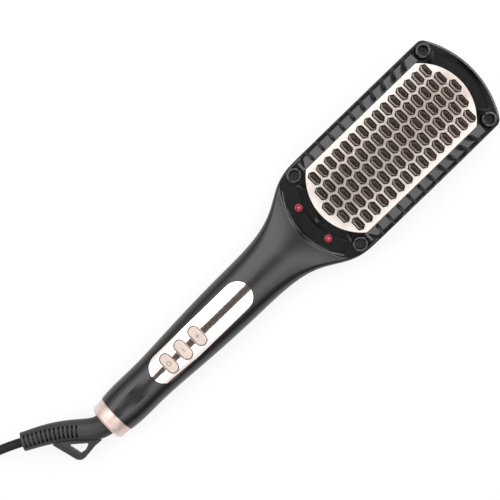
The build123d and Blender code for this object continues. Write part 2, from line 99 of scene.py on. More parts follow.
def uprightEdges(bm, least):
    # edges that climb by more than least
    return [edge for edge in bm.edges if abs(edge.verts[0].co.z - edge.verts[1].co.z) > least * mm]


def levelEdges(bm, above):
    # edges that lie level, over a height
    return [edge for edge in bm.edges if min(vert.co.z for vert in edge.verts) > above * mm
            and abs(edge.verts[0].co.z - edge.verts[1].co.z) < 0.05 * mm]


def bevelEdges(bm, edges, offset, segments):
    bmesh.ops.bevel(bm, geom=list(edges), offset=offset * mm, segments=segments, profile=0.5,
                    affect="EDGES", offset_type="OFFSET", clamp_overlap=True, material=-1)


def addMesh(whole, part):
    mesh = bpy.data.meshes.new("part")
    part.to_mesh(mesh)
    part.free()
    whole.from_mesh(mesh)
    bpy.data.meshes.remove(mesh)


def spinRing(points, axis, place, steps, closed=True):
    # turns a line of (along, radius) points in millimetres round a line through place
    bm = bmesh.new()
    out = Vector((0, 0, 1)) if abs(axis[2]) < 0.5 else Vector((1, 0, 0))
    verts = [bm.verts.new((Vector(axis) * along + out * radius) * mm) for along, radius in points]
    edges = [bm.edges.new(pair) for pair in zip(verts, verts[1:])]
    if closed:
        edges.append(bm.edges.new((verts[-1], verts[0])))
    bmesh.ops.spin(bm, geom=verts + edges, axis=axis, angle=2 * math.pi, steps=steps, use_merge=True)
    bmesh.ops.remove_doubles(bm, verts=bm.verts, dist=1e-6)
    bmesh.ops.dissolve_degenerate(bm, edges=bm.edges, dist=1e-7)
    bmesh.ops.recalc_face_normals(bm, faces=bm.faces)
    bmesh.ops.translate(bm, verts=bm.verts, vec=place)
    return bm


def sweepArc(profile, halfAngle, steps, side):
    # sweeps a face of (radius, height) corners along an arc round the origin, on the +Y or the -Y side
    bm = bmesh.new()
    face = bm.faces.new([bm.verts.new((0, side * radius * mm, height * mm)) for radius, height in profile])
    half = math.radians(halfAngle)
    bmesh.ops.rotate(bm, verts=bm.verts, matrix=Matrix.Rotation(-half, 3, "Z"))
    bmesh.ops.spin(bm, geom=[face, *face.edges, *face.verts], axis=(0, 0, 1), angle=2 * half, steps=steps)
    return bm


def fadedRise(vert, halfAngle, endFade, side):
    # height of a swept point, sinking to nothing over the last share of the arc
    fade = min(1.0, (1 - abs(math.atan2(vert.co.x, side * vert.co.y)) / math.radians(halfAngle)) / endFade)
    return vert.co.z * (fade if vert.co.z > 0 else 1)


def surfaceTree(name):
    return BVHTree.FromObject(nodes[name], bpy.context.evaluated_depsgraph_get())


def topAt(tree, place):
    # height of the surface at a place, met by a ray from well above the brush
    return tree.ray_cast(Vector((place.x, place.y, 0.1)), Vector((0, 0, -1)))[0].z


def repeatAt(single, places):
    # one copy of the mesh at each matrix
    mesh = bpy.data.meshes.new("single")
    single.to_mesh(mesh)
    single.free()
    many = bmesh.new()
    for place in places:
        known = len(many.verts)
        many.from_mesh(mesh)
        many.verts.ensure_lookup_table()
        bmesh.ops.transform(many, matrix=place, verts=many.verts[known:])
    bpy.data.meshes.remove(mesh)
    return many


# camera: looks straight down, the brush lies at 45.9 degrees

cameraPlan = {
    "centre": (-0.0141, -0.0173),
    "height": 0.912,
    "turn": 45.9,
    "lens": 113.7,
}

cameraData = bpy.data.cameras.new("camera")
cameraData.lens = cameraPlan["lens"]
cameraData.sensor_width = 36
camera = bpy.data.objects.new("camera", cameraData)
camera.location = (*cameraPlan["centre"], cameraPlan["height"])
camera.rotation_euler = (0, 0, math.radians(cameraPlan["turn"]))
bpy.context.scene.collection.objects.link(camera)
bpy.context.scene.camera = camera
print("camera set")


# groups of nodes that several materials share

def startGroup(name, inputs, outputs):
    tree = bpy.data.node_groups.new(name, "ShaderNodeTree")
    for label, kind, value in inputs:
        socket = tree.interface.new_socket(label, in_out="INPUT", socket_type=kind)
        socket.default_value = value
    for label, kind in outputs:
        tree.interface.new_socket(label, in_out="OUTPUT", socket_type=kind)
    return tree, tree.nodes.new("NodeGroupInput"), tree.nodes.new("NodeGroupOutput")


def addNode(tree, kind, label="", values=None, **settings):
    node = tree.nodes.new("ShaderNode" + kind)
    node.label = label
    for key, value in settings.items():
        setattr(node, key, value)
    for key, value in (values or {}).items():
        node.inputs[key].default_value = value
    return node


def makeSurfaceGrain():
    # fine moulded grain: a height for the bump and a roughness that wanders a little
    tree, start, end = startGroup(
        "surfaceGrain",
        [("Size", "NodeSocketFloat", 900.0), ("Roughness", "NodeSocketFloat", 0.4),
         ("Wander", "NodeSocketFloat", 0.08), ("Stretch", "NodeSocketVector", (1, 1, 1))],
        [("Roughness", "NodeSocketFloat"), ("Height", "NodeSocketFloat")])
    coords = addNode(tree, "TexCoord")
    stretched = addNode(tree, "VectorMath", operation="MULTIPLY")
    fine = addNode(tree, "TexNoise", values={"Detail": 3.0, "Roughness": 0.6})
    broad = addNode(tree, "TexNoise", values={"Scale": 45.0, "Detail": 2.0})
    centred = addNode(tree, "Math", operation="SUBTRACT", values={1: 0.5})
    wander = addNode(tree, "Math", operation="MULTIPLY_ADD")
    link = tree.links.new
    link(coords.outputs["Object"], stretched.inputs[0])
    link(start.outputs["Stretch"], stretched.inputs[1])
    link(stretched.outputs[0], fine.inputs["Vector"])
    link(coords.outputs["Object"], broad.inputs["Vector"])
    link(start.outputs["Size"], fine.inputs["Scale"])
    link(broad.outputs["Fac"], centred.inputs[0])
    link(centred.outputs[0], wander.inputs[0])
    link(start.outputs["Wander"], wander.inputs[1])
    link(start.outputs["Roughness"], wander.inputs[2])
    link(wander.outputs[0], end.inputs["Roughness"])
    link(fine.outputs["Fac"], end.inputs["Height"])
    return tree


def makeToneDrift():
    # colour that drifts between two close tones over a few centimetres
    tree, start, end = startGroup(
        "toneDrift",
        [("Tone", "NodeSocketColor", (0.5, 0.5, 0.5, 1)), ("Other", "NodeSocketColor", (0.6, 0.6, 0.6, 1)),
         ("Size", "NodeSocketFloat", 60.0)],
        [("Color", "NodeSocketColor")])
    coords = addNode(tree, "TexCoord")
    cloud = addNode(tree, "TexNoise", values={"Detail": 5.0, "Roughness": 0.65})
    ramp = addNode(tree, "MapRange", values={"From Min": 0.35, "From Max": 0.65})
    mix = addNode(tree, "Mix", data_type="RGBA")
    link = tree.links.new
    link(coords.outputs["Object"], cloud.inputs["Vector"])
    link(start.outputs["Size"], cloud.inputs["Scale"])
    link(cloud.outputs["Fac"], ramp.inputs["Value"])
    link(ramp.outputs["Result"], mix.inputs[0])
    link(start.outputs["Tone"], mix.inputs[6])       # 6 and 7 are the colour sockets A and B
    link(start.outputs["Other"], mix.inputs[7])
    link(mix.outputs[2], end.inputs["Color"])
    return tree


def makeCrownLift():
    # how far a point lies above the crown of the plate, and how far out from its middle band, in metres
    tree, start, end = startGroup(
        "crownLift",
        [("Top", "NodeSocketFloat", crownPlan["topZ"] * mm),
         ("Middle", "NodeSocketFloat", crownPlan["middleY"] * mm),
         ("Radius", "NodeSocketFloat", crownPlan["radius"] * mm),
         ("Band", "NodeSocketFloat", 0.040)],
        [("Lift", "NodeSocketFloat"), ("Outward", "NodeSocketFloat")])
    coords = addNode(tree, "TexCoord")
    parts = addNode(tree, "SeparateXYZ")
    along = addNode(tree, "Math", operation="SUBTRACT")
    square = addNode(tree, "Math", operation="MULTIPLY")
    twice = addNode(tree, "Math", operation="MULTIPLY", values={1: 2.0})
    sag = addNode(tree, "Math", operation="DIVIDE")
    raised = addNode(tree, "Math", operation="ADD")
    lift = addNode(tree, "Math", operation="SUBTRACT")
    across = addNode(tree, "Math", operation="ABSOLUTE")
    endward = addNode(tree, "Math", operation="ABSOLUTE")
    pastBand = addNode(tree, "Math", operation="SUBTRACT")
    outward = addNode(tree, "Math", operation="MAXIMUM")
    link = tree.links.new
    link(coords.outputs["Object"], parts.inputs[0])
    link(parts.outputs["Y"], along.inputs[0])
    link(start.outputs["Middle"], along.inputs[1])
    link(along.outputs[0], square.inputs[0])
    link(along.outputs[0], square.inputs[1])
    link(start.outputs["Radius"], twice.inputs[0])
    link(square.outputs[0], sag.inputs[0])
    link(twice.outputs[0], sag.inputs[1])
    link(parts.outputs["Z"], raised.inputs[0])
    link(sag.outputs[0], raised.inputs[1])
    link(raised.outputs[0], lift.inputs[0])
    link(start.outputs["Top"], lift.inputs[1])
    link(parts.outputs["X"], across.inputs[0])
    link(lift.outputs[0], end.inputs["Lift"])
    link(along.outputs[0], endward.inputs[0])
    link(endward.outputs[0], pastBand.inputs[0])
    link(start.outputs["Band"], pastBand.inputs[1])
    link(across.outputs[0], outward.inputs[0])
    link(pastBand.outputs[0], outward.inputs[1])
    link(outward.outputs[0], end.inputs["Outward"])
    return tree


surfaceGrain = makeSurfaceGrain()
toneDrift = makeToneDrift()
crownLift = makeCrownLift()


def newMaterial(name, finish):
    # every finish has a drifting tone, a wandering roughness and a fine bump of its own
    material = bpy.data.materials.new(name)
    material.use_nodes = True
    tree = material.node_tree
    shader = tree.nodes["Principled BSDF"]
    for socket, value in finish.get("shader", {}).items():
        shader.inputs[socket].default_value = value
    grain = addNode(tree, "Group", "grain", node_tree=surfaceGrain)
    grain.inputs["Size"].default_value = finish.get("grain", 900.0)
    grain.inputs["Roughness"].default_value = finish["roughness"]
    grain.inputs["Wander"].default_value = finish.get("wander", 0.08)
    grain.inputs["Stretch"].default_value = finish.get("stretch", (1, 1, 1))
    tone = addNode(tree, "Group", "tone", node_tree=toneDrift)
    tone.inputs["Tone"].default_value = (*finish["tone"], 1)
    tone.inputs["Other"].default_value = (*finish.get("other", [1.25 * part for part in finish["tone"]]), 1)
    tone.inputs["Size"].default_value = finish.get("drift", 60.0)
    bump = addNode(tree, "Bump", values={"Strength": finish.get("bump", 0.15), "Distance": 0.0001})
    tree.links.new(grain.outputs["Roughness"], shader.inputs["Roughness"])
    tree.links.new(grain.outputs["Height"], bump.inputs["Height"])
    tree.links.new(bump.outputs["Normal"], shader.inputs["Normal"])
    tree.links.new(tone.outputs["Color"], shader.inputs["Base Color"])
    return material


finishes = {
    "shellBlack": {"tone": (0.005, 0.005, 0.0055), "other": (0.008, 0.008, 0.0085), "roughness": 0.28,
                   "wander": 0.06, "grain": 2600.0, "bump": 0.07, "shader": {"Specular IOR Level": 0.62}},
    "frameBlack": {"tone": (0.005, 0.005, 0.0055), "other": (0.008, 0.008, 0.0085), "roughness": 0.17,
                   "wander": 0.04, "grain": 2600.0, "bump": 0.05, "shader": {"Specular IOR Level": 0.68}},
    "finBlack": {"tone": (0.010, 0.010, 0.011), "other": (0.016, 0.016, 0.017), "roughness": 0.45,
                 "grain": 1800.0, "bump": 0.2},
    "plateRose": {"tone": (0.92, 0.82, 0.76), "other": (0.96, 0.88, 0.83), "roughness": 0.34, "drift": 25.0,
                  "grain": 1500.0, "bump": 0.12, "shader": {"Metallic": 0.35, "Coat Weight": 0.15}},
    "toothMetal": {"tone": (0.86, 0.77, 0.71), "other": (0.92, 0.84, 0.79), "roughness": 0.35,
                   "drift": 90.0, "grain": 1200.0, "shader": {"Metallic": 0.2}},
    "capBrown": {"tone": (0.016, 0.009, 0.006), "other": (0.034, 0.019, 0.012), "roughness": 0.18,
                 "wander": 0.05, "drift": 130.0, "bump": 0.05, "shader": {"Specular IOR Level": 0.26}},
    "panelMirror": {"tone": (0.90, 0.79, 0.74), "other": (0.92, 0.82, 0.77), "roughness": 0.10,
                    "wander": 0.03, "bump": 0.02, "shader": {"Metallic": 1.0}},
    "buttonRose": {"tone": (0.62, 0.51, 0.45), "other": (0.68, 0.57, 0.51), "roughness": 0.36,
                   "bump": 0.1, "shader": {"Metallic": 0.15}},
    "trimPolished": {"tone": (0.80, 0.73, 0.69), "other": (0.86, 0.80, 0.76), "roughness": 0.22,
                     "wander": 0.05, "bump": 0.03, "shader": {"Metallic": 1.0}},
    "tailRose": {"tone": (0.60, 0.46, 0.41), "other": (0.74, 0.61, 0.56), "roughness": 0.36, "drift": 160.0,
                 "grain": 700.0, "stretch": (0.05, 6.0, 0.05), "bump": 0.3,
                 "shader": {"Metallic": 0.45, "Anisotropic": 0.4}},
    "rubberBlack": {"tone": (0.013, 0.013, 0.014), "other": (0.020, 0.020, 0.021), "roughness": 0.5,
                    "grain": 2200.0, "bump": 0.3},
    "cordBlack": {"tone": (0.010, 0.010, 0.011), "other": (0.015, 0.015, 0.016), "roughness": 0.5,
                  "grain": 1500.0, "bump": 0.2, "shader": {"Specular IOR Level": 0.16}},
    "tieBlack": {"tone": (0.020, 0.020, 0.021), "other": (0.036, 0.036, 0.037), "roughness": 0.85,
                 "grain": 3500.0, "bump": 0.8, "shader": {"Sheen Weight": 0.3}},
    "plugBlack": {"tone": (0.014, 0.014, 0.015), "other": (0.020, 0.020, 0.021), "roughness": 0.42,
                  "grain": 1900.0, "bump": 0.35},
    "pinNickel": {"tone": (0.66, 0.65, 0.62), "other": (0.74, 0.73, 0.70), "roughness": 0.2,
                  "grain": 900.0, "stretch": (8.0, 0.4, 8.0), "shader": {"Metallic": 1.0}},
    # the screws' near-black tone is painted shade for the deep recesses they sit in
    "screwSteelPaintedShade": {"tone": (0.006, 0.006, 0.006), "other": (0.012, 0.012, 0.012), "roughness": 0.55,
                   "shader": {"Metallic": 0.2}},
    "castMetal": {"tone": (0.07, 0.058, 0.050), "other": (0.11, 0.095, 0.085), "roughness": 0.5,
                  "grain": 1400.0, "bump": 0.5, "shader": {"Metallic": 0.6}},
    "heaterCeramic": {"tone": (0.72, 0.70, 0.66), "other": (0.80, 0.78, 0.74), "roughness": 0.6},
    "micaAmber": {"tone": (0.55, 0.42, 0.24), "other": (0.66, 0.54, 0.34), "roughness": 0.25,
                  "grain": 500.0, "bump": 0.4, "shader": {"Coat Weight": 0.5}},
    "springSteel": {"tone": (0.50, 0.50, 0.51), "other": (0.58, 0.58, 0.59), "roughness": 0.28,
                    "stretch": (1.0, 0.1, 1.0), "shader": {"Metallic": 1.0}},
    "fuseMetal": {"tone": (0.60, 0.58, 0.52), "roughness": 0.25, "shader": {"Metallic": 1.0}},
    "sensorGlass": {"tone": (0.14, 0.07, 0.03), "roughness": 0.08, "shader": {"Coat Weight": 0.6}},
    "boardGreen": {"tone": (0.015, 0.12, 0.05), "other": (0.03, 0.20, 0.09), "roughness": 0.3,
                   "drift": 400.0, "shader": {"Coat Weight": 0.3}},
    "moduleDark": {"tone": (0.03, 0.03, 0.04), "other": (0.05, 0.05, 0.06), "roughness": 0.5},
    "needleSteel": {"tone": (0.6, 0.6, 0.6), "roughness": 0.15, "shader": {"Metallic": 1.0}},
    "socketWhite": {"tone": (0.72, 0.71, 0.68), "other": (0.78, 0.77, 0.75), "roughness": 0.4},
    "coreBlack": {"tone": (0.02, 0.02, 0.02), "roughness": 0.45},
    "brassContact": {"tone": (0.62, 0.45, 0.20), "other": (0.70, 0.53, 0.27), "roughness": 0.25,
                     "shader": {"Metallic": 1.0}},
    "signGrey": {"tone": (0.22, 0.17, 0.15), "other": (0.28, 0.22, 0.20), "roughness": 0.45},
}
materials = {name: newMaterial(name, finish) for name, finish in finishes.items()}


lensPlan = {
    "centre": (12.1, 19.2),            # of either lens
    "fade": (0.1, 2.2),                # from the hot middle out to the rim
    "hotTone": (1.0, 0.50, 0.62),
    "tones": [(0.45, (0.16, 0.005, 0.02)), (0.78, (0.50, 0.05, 0.11))],
    "rimTone": (0.02, 0.001, 0.002),
    "strength": 0.9,
}


def makeLampRed(plan):
    # a lens lit from behind: hot in the middle, deep red at the rim
    material = newMaterial("lampRed", {"tone": (0.10, 0.006, 0.010), "other": (0.16, 0.012, 0.018),
                                       "roughness": 0.12, "bump": 0.02, "shader": {"Coat Weight": 0.6}})
    tree = material.node_tree
    shader = tree.nodes["Principled BSDF"]
    coords = addNode(tree, "TexCoord")
    shift = addNode(tree, "VectorMath", operation="ABSOLUTE")
    centre = addNode(tree, "VectorMath", operation="SUBTRACT",
                     values={1: [value * mm for value in (*plan["centre"], 0)]})
    flat = addNode(tree, "VectorMath", operation="MULTIPLY", values={1: (1, 1, 0)})
    reach = addNode(tree, "VectorMath", operation="LENGTH")
    hot, rim = plan["fade"]
    glow = addNode(tree, "MapRange", "glow", values={"From Min": hot * mm, "From Max": rim * mm,
                                                      "To Min": 1.0, "To Max": 0.0})
    ramp = addNode(tree, "ValToRGB")
    ramp.color_ramp.elements[0].color = (*plan["rimTone"], 1)
    ramp.color_ramp.elements[1].color = (*plan["hotTone"], 1)
    for place, tone in plan["tones"]:
        ramp.color_ramp.elements.new(place).color = (*tone, 1)
    link = tree.links.new
    link(coords.outputs["Object"], shift.inputs[0])
    link(shift.outputs[0], centre.inputs[0])
    link(centre.outputs[0], flat.inputs[0])
    link(flat.outputs[0], reach.inputs[0])
    link(reach.outputs["Value"], glow.inputs["Value"])
    link(glow.outputs["Result"], ramp.inputs["Fac"])
    link(ramp.outputs["Color"], shader.inputs["Emission Color"])
    shader.inputs["Emission Strength"].default_value = plan["strength"]
    return material


materials["lampRed"] = makeLampRed(lensPlan)


def shadeBetween(name, output, reach, tone, most=1.0):
    # mixes a darker tone in between two values of one of crownLift's outputs
    tree = materials[name].node_tree
    shader = tree.nodes["Principled BSDF"]
    source = shader.inputs["Base Color"].links[0].from_socket
    lift = addNode(tree, "Group", "lift", node_tree=crownLift)
    share = addNode(tree, "MapRange", values={"From Min": reach[0] * mm, "From Max": reach[1] * mm,
                                              "To Min": most, "To Max": 0.0})
    mix = addNode(tree, "Mix", data_type="RGBA")
    mix.inputs[7].default_value = (*tone, 1)
    tree.links.new(lift.outputs[output], share.inputs["Value"])
    tree.links.new(share.outputs["Result"], mix.inputs[0])
    tree.links.new(source, mix.inputs[6])
    tree.links.new(mix.outputs[2], shader.inputs["Base Color"])


shadeBetween("plateRose", "Outward", (8.0, 17.5), (0.33, 0.265, 0.225), 0.56)  # painted shade in the plate's middle field, where the standing teeth shadow the webs
shadeBetween("plateRose", "Lift", (-0.5, -0.06), (0.05, 0.032, 0.025))      # painted shade on the hole walls, below the plate's face
shadeBetween("toothMetal", "Lift", (-1.6, -0.1), (0.05, 0.034, 0.027))      # painted shade low on the teeth, at their roots
print("materials made:", len(materials))


# cord: out of the guard, down to the table, wound into a coil and round to the plug

cordPlan = {
    "diameter": 0.0054,
    "lead": [(-25.4, -185.8, 12.2), (-29.3, -193.6, 11.4), (-34.9, -209.0, 7.6), (-44.0, -231.0, 3.6),
             (-44.0, -256.0, 2.75)],
    "tail": [(-49.4, -300.0, 5.6), (-49.4, -320.0, 3.2), (-43.0, -333.6, 3.9), (-31.8, -340.0, 6.6),
             (-17.0, -340.0, 7.5)],
    "stillFrom": (-40.0, -232.0, 3.5),     # beyond this point the cord lies still when the guard turns
    "coilCentre": (-12.0, -282.0),
    "meanRadius": 32.0,
    "step": 5.5,             # from one turn to the next
    "restZ": 2.75,
    "turns": [(0, 0), (-1, 0), (-1, 1), (0, 1), (-1, 2), (0, 2), (1, 2), (1, 1)],  # (ring, layer)
    "pointsPerTurn": 16,
    "crossing": 0.3,         # share of a turn in which it changes ring or layer
    "nesting": 0.94,         # layers sink a little into each other
}


def coilPoints(plan):
    points = []
    count = plan["pointsPerTurn"]
    for number in range(len(plan["turns"]) * count + 1):
        turn = min(number // count, len(plan["turns"]) - 1)
        ring, layer = plan["turns"][turn]
        before = plan["turns"][turn - 1] if turn else (ring, layer)
        settle = min((number - turn * count) / (plan["crossing"] * count), 1.0)
        settle = settle * settle * (3 - 2 * settle)
        radius = plan["meanRadius"] + plan["step"] * (before[0] + (ring - before[0]) * settle)
        height = plan["restZ"] + plan["step"] * (before[1] + (layer - before[1]) * settle) * plan["nesting"]
        angle = math.pi + 2 * math.pi * number / count
        points.append((plan["coilCentre"][0] + radius * math.cos(angle),
                       plan["coilCentre"][1] + radius * math.sin(angle), height))
    return points


def makeCord(plan):
    # the tube's mesh, and the bare route as the points of its middle line
    curve = bpy.data.curves.new("mainsCord", "CURVE")
    curve.dimensions = "3D"
    curve.resolution_u = 8
    spline = curve.splines.new("NURBS")
    route = plan["lead"] + coilPoints(plan) + plan["tail"]
    spline.points.add(len(route) - 1)
    for point, place in zip(spline.points, route):
        point.co = (*[value * mm for value in place], 1)
    spline.order_u = 3
    spline.use_endpoint_u = True
    holder = bpy.data.objects.new("cordRoute", curve)
    line = bpy.data.meshes.new_from_object(holder)
    path = [tuple(vert.co) for vert in line.vertices]
    bpy.data.meshes.remove(line)
    curve.bevel_depth = plan["diameter"] / 2
    curve.bevel_resolution = 4
    curve.use_fill_caps = True
    tube = bpy.data.meshes.new_from_object(holder)
    for face in tube.polygons:
        face.use_smooth = True
    bpy.data.objects.remove(holder)
    return bpy.data.objects.new("mainsCord", tube), path


# plug: flat grip with ribs, a ribbed sleeve over the cord, and two pins

plugPlan = {
    "nose": (-20.0, -340.0, 7.5),          # where the cord enters; the pins point along +X
    "outline": [(0, 5.2), (9.0, 8.2), (17.5, 15.0), (34.0, 15.0)],     # along and half width
    "corner": 3.4,
    "depth": (0.5, 14.6),
    "edge": 2.0,
    "ribs": {"first": 19.5, "pitch": 2.7, "count": 5, "size": (1.1, 21.0, 0.9), "edge": 0.3},
    "sleeve": [(-9.5, 3.0), (-9.5, 3.5), (-8.0, 3.7), (-8.0, 3.15), (-7.0, 3.15), (-7.0, 3.9), (-5.4, 4.15),
               (-5.4, 3.4), (-4.4, 3.4), (-4.4, 4.35), (-2.8, 4.6), (-2.8, 3.7), (-1.8, 3.7), (-1.8, 4.75),
               (1.5, 5.2), (1.5, 3.0)],
    "pinSide": 9.5,
    "pinSleeve": [(33.0, 1.0), (33.0, 1.9), (43.6, 1.9), (44.0, 1.7), (44.0, 1.0)],
    "pin": [(43.0, 0), (43.0, 1.6), (43.9, 2.0), (51.5, 2.0), (52.3, 1.75), (52.8, 1.2), (53.0, 0)],
    "steps": 24,
}


def makePlugBody(plan):
    bm = bmesh.new()
    noseX, noseY = plan["nose"][:2]
    low, high = plan["depth"]
    corners = [(noseX + along, noseY - half) for along, half in plan["outline"]]
    corners += [(noseX + along, noseY + half) for along, half in reversed(plan["outline"])]
    foot = flatFace(bm, corners, low)
    raiseFace(bm, foot, high - low)
    bevelEdges(bm, uprightEdges(bm, 1), plan["corner"], 3)
    bevelEdges(bm, levelEdges(bm, 0), plan["edge"], 3)
    bmesh.ops.recalc_face_normals(bm, faces=bm.faces)
    ribs = plan["ribs"]
    for number in range(ribs["count"]):
        for height in (low, high):
            rib = bmesh.new()
            bmesh.ops.create_cube(rib, size=mm)
            bmesh.ops.scale(rib, verts=rib.verts, vec=ribs["size"])
            bevelEdges(rib, rib.edges, ribs["edge"], 2)
            place = Vector((noseX + ribs["first"] + ribs["pitch"] * number, noseY, height))
            bmesh.ops.translate(rib, verts=rib.verts, vec=place * mm)
            addMesh(bm, rib)
    addMesh(bm, spinRing(plan["sleeve"], (1, 0, 0), Vector(plan["nose"]) * mm, plan["steps"]))
    return bm


def makePins(points, plan, closed):
    whole = bmesh.new()
    for side in (-plan["pinSide"], plan["pinSide"]):
        place = (Vector(plan["nose"]) + Vector((0, side, 0))) * mm
        addMesh(whole, spinRing(points, (1, 0, 0), place, plan["steps"], closed))
    return whole


plugPieces = [
    linkPiece("plugGrip", makePlugBody(plugPlan), materials["plugBlack"], "brush", ["plug"]),
    linkPiece("plugPins", makePins(plugPlan["pin"], plugPlan, False), materials["pinNickel"],
              "brush", ["plug_pins"]),
    linkPiece("pinSleeves", makePins(plugPlan["pinSleeve"], plugPlan, True), materials["plugBlack"],
              "brush"),
]
print("plug made")


mainsCord, cordPath = makeCord(cordPlan)
placePiece(mainsCord, materials["cordBlack"], None, ("cord_lead", "cord_coil", "cord_tail"))
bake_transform(mainsCord)
print("cord laid")


# materials of the nodes that stay as they are

nodeFinish = {
    "back_shell": "shellBlack", "handle_front_shell": "shellBlack", "head_frame": "frameBlack",
    "guard_fins": "finBlack", "face_plate": "plateRose", "casting_teeth": "toothMetal",
    "tooth_caps": "capBrown", "heater_casting": "castMetal", "heater_strip_left": "heaterCeramic",
    "heater_strip_right": "heaterCeramic", "mica_sheet": "micaAmber", "heater_clamp": "springSteel",
    "thermal_fuse": "fuseMetal", "temperature_sensor": "sensorGlass", "head_screws": "screwSteelPaintedShade",
    "handle_screws": "screwSteelPaintedShade", "lamp_left": "lampRed", "lamp_right": "lampRed",
    "lamp_board": "boardGreen", "ion_generator": "moduleDark", "ion_needle": "needleSteel",
    "control_panel": "panelMirror", "power_button": "buttonRose", "minus_button": "buttonRose",
    "plus_button": "buttonRose", "power_button_trim": "trimPolished", "minus_button_trim": "trimPolished",
    "plus_button_trim": "trimPolished", "switches": "coreBlack", "control_board": "boardGreen",
    "power_relay": "moduleDark", "capacitor": "moduleDark", "tail_ring": "tailRose",
    "swivel_socket": "socketWhite", "swivel_core": "coreBlack", "slip_rings": "brassContact",
    "cord_guard": "rubberBlack", "cord_lead": "cordBlack", "cord_coil": "cordBlack",
    "cord_tail": "cordBlack", "cord_tie": "tieBlack", "plug": "plugBlack", "plug_pins": "pinNickel",
}
for name, finish in nodeFinish.items():
    mesh = nodes[name].data
    mesh.materials.clear()
    mesh.materials.append(materials[finish])
print("nodes dressed:", len(nodeFinish))


# crown of the plate: teeth stand upright on it, guard spikes stand square to it

def crownHeight(y, plan=crownPlan):
    return plan["topZ"] - plan["radius"] + math.sqrt(plan["radius"] ** 2 - (y - plan["middleY"]) ** 2)


def uprightPlace(x, y):
    return Matrix.Translation(Vector((x, y, crownHeight(y))) * mm)


def squarePlace(x, y, plan=crownPlan):
    lean = math.asin((y - plan["middleY"]) / plan["radius"])
    return (Matrix.Translation(Vector((0, plan["middleY"], plan["topZ"] - plan["radius"])) * mm)
            @ Matrix.Rotation(-lean, 4, "X") @ Matrix.Translation(Vector((x, 0, plan["radius"])) * mm))


# teeth: tapered metal with a glossy cool tip on each

toothPlan = {
    "columns": [15, 16, 17, 16, 15],
    "pitch": (8.9, 6.23),
    "middleY": 80.6,
    "root": (8.2, 5.0, 3.7),         # length, straight part and width on the casting
    "rootDepth": 3.4,
    "shoulder": 4.4,
    "narrowing": (0.94, 0.76),
    "flankEdge": 0.5,
    "capFoot": (7.9, 4.9, 2.9),
    "capSeat": 0.3,                  # the cap begins this far below the shoulder
    "capCollar": 0.4,
    "capRise": 1.25,
    "capTaper": (0.985, 0.955),
    "roofRise": 0.75,
    "roof": (0.68, 0.34),            # the ridge's length and width over the cap's
    "capCorner": 0.7,
    "capEdge": 0.34,
}


def toothPlaces(plan):
    places = []
    for column, count in enumerate(plan["columns"]):
        for number in range(count):
            places.append((plan["pitch"][0] * (column - (len(plan["columns"]) - 1) / 2),
                           plan["middleY"] + plan["pitch"][1] * (number - (count - 1) / 2)))
    return places


def longHexagon(bm, size, height):
    length, straight, width = (part / 2 for part in size)
    return flatFace(bm, [(length, 0), (straight, width), (-straight, width), (-length, 0),
                         (-straight, -width), (straight, -width)], height)


def makeMetalTeeth(plan):
    bm = bmesh.new()
    root = longHexagon(bm, plan["root"], -plan["rootDepth"])
    raiseFace(bm, root, plan["rootDepth"] + plan["shoulder"], scale=plan["narrowing"])
    bevelEdges(bm, uprightEdges(bm, 1), plan["flankEdge"], 2)
    return repeatAt(bm, [uprightPlace(*place) for place in toothPlaces(plan)])


def makeToothCaps(plan):
    bm = bmesh.new()
    foot = longHexagon(bm, plan["capFoot"], plan["shoulder"] - plan["capSeat"])
    collar = raiseFace(bm, foot, plan["capCollar"])
    eaves = raiseFace(bm, collar, plan["capRise"], scale=plan["capTaper"])
    raiseFace(bm, eaves, plan["roofRise"], scale=plan["roof"])
    bevelEdges(bm, uprightEdges(bm, plan["roofRise"] + 0.1), plan["capCorner"], 2)
    bevelEdges(bm, levelEdges(bm, plan["shoulder"] + plan["capCollar"]), plan["capEdge"], 2)
    return repeatAt(bm, [uprightPlace(*place) for place in toothPlaces(plan)])


linkPiece("heatedTeeth", makeMetalTeeth(toothPlan), materials["toothMetal"], "brush",
          ["casting_teeth"])
linkPiece("coolTips", makeToothCaps(toothPlan), materials["capBrown"], "brush",
          ["tooth_caps"], sharpAngle=50)
print("teeth standing:", len(toothPlaces(toothPlan)))


# guard spikes round the plate

spikePlan = {
    "foot": (3.6, 2.2),
    "footDrop": 3.8,
    "stages": [(4.8, (0.94, 0.72), 0.30), (6.0, (0.62, 0.78), 0.42),
               (4.6, (0.52, 0.62), 0.28)],       # rise, narrowing and share of the lean
    "edge": 0.3,
    "tipEdge": 0.25,
    "footX": 27.2,
    "tipX": 31.6,
    "count": 10,
    "pitch": 8.15,
    "middleY": 80.3,
    "corners": [(20.2, 131.4), (19.2, 28.2)],
    "lowest": (0, 22.2),
}


def makeSpike(lean, plan):
    bm = bmesh.new()
    halfX, halfY = (part / 2 for part in plan["foot"])
    foot = flatFace(bm, [(halfX, halfY), (-halfX, halfY), (-halfX, -halfY), (halfX, -halfY)],
                    -plan["footDrop"])
    end = foot
    for rise, narrowing, share in plan["stages"]:
        end = raiseFace(bm, end, rise, scale=narrowing, shift=(share * lean, 0))
    bevelEdges(bm, uprightEdges(bm, 1), plan["edge"], 2)
    top = max(bm.faces, key=lambda face: face.calc_center_median().z)
    bevelEdges(bm, top.edges, plan["tipEdge"], 2)
    return bm


def makeGuardSpikes(plan):
    lean = plan["tipX"] - plan["footX"]
    half = (plan["count"] - 1) / 2
    rows = [plan["middleY"] + plan["pitch"] * (number - half) for number in range(plan["count"])]
    whole = bmesh.new()
    for side in (-1, 1):
        for amount, places in ((lean, [(plan["footX"], y) for y in rows]), (lean / 2, plan["corners"])):
            spots = [squarePlace(side * x, y) for x, y in places]
            addMesh(whole, repeatAt(makeSpike(side * amount, plan), spots))
    addMesh(whole, repeatAt(makeSpike(0, plan), [squarePlace(*plan["lowest"])]))
    return whole


linkPiece("guardSpikes", makeGuardSpikes(spikePlan), materials["finBlack"], "brush",
          ["guard_fins"], sharpAngle=50)
print("guard spikes standing")


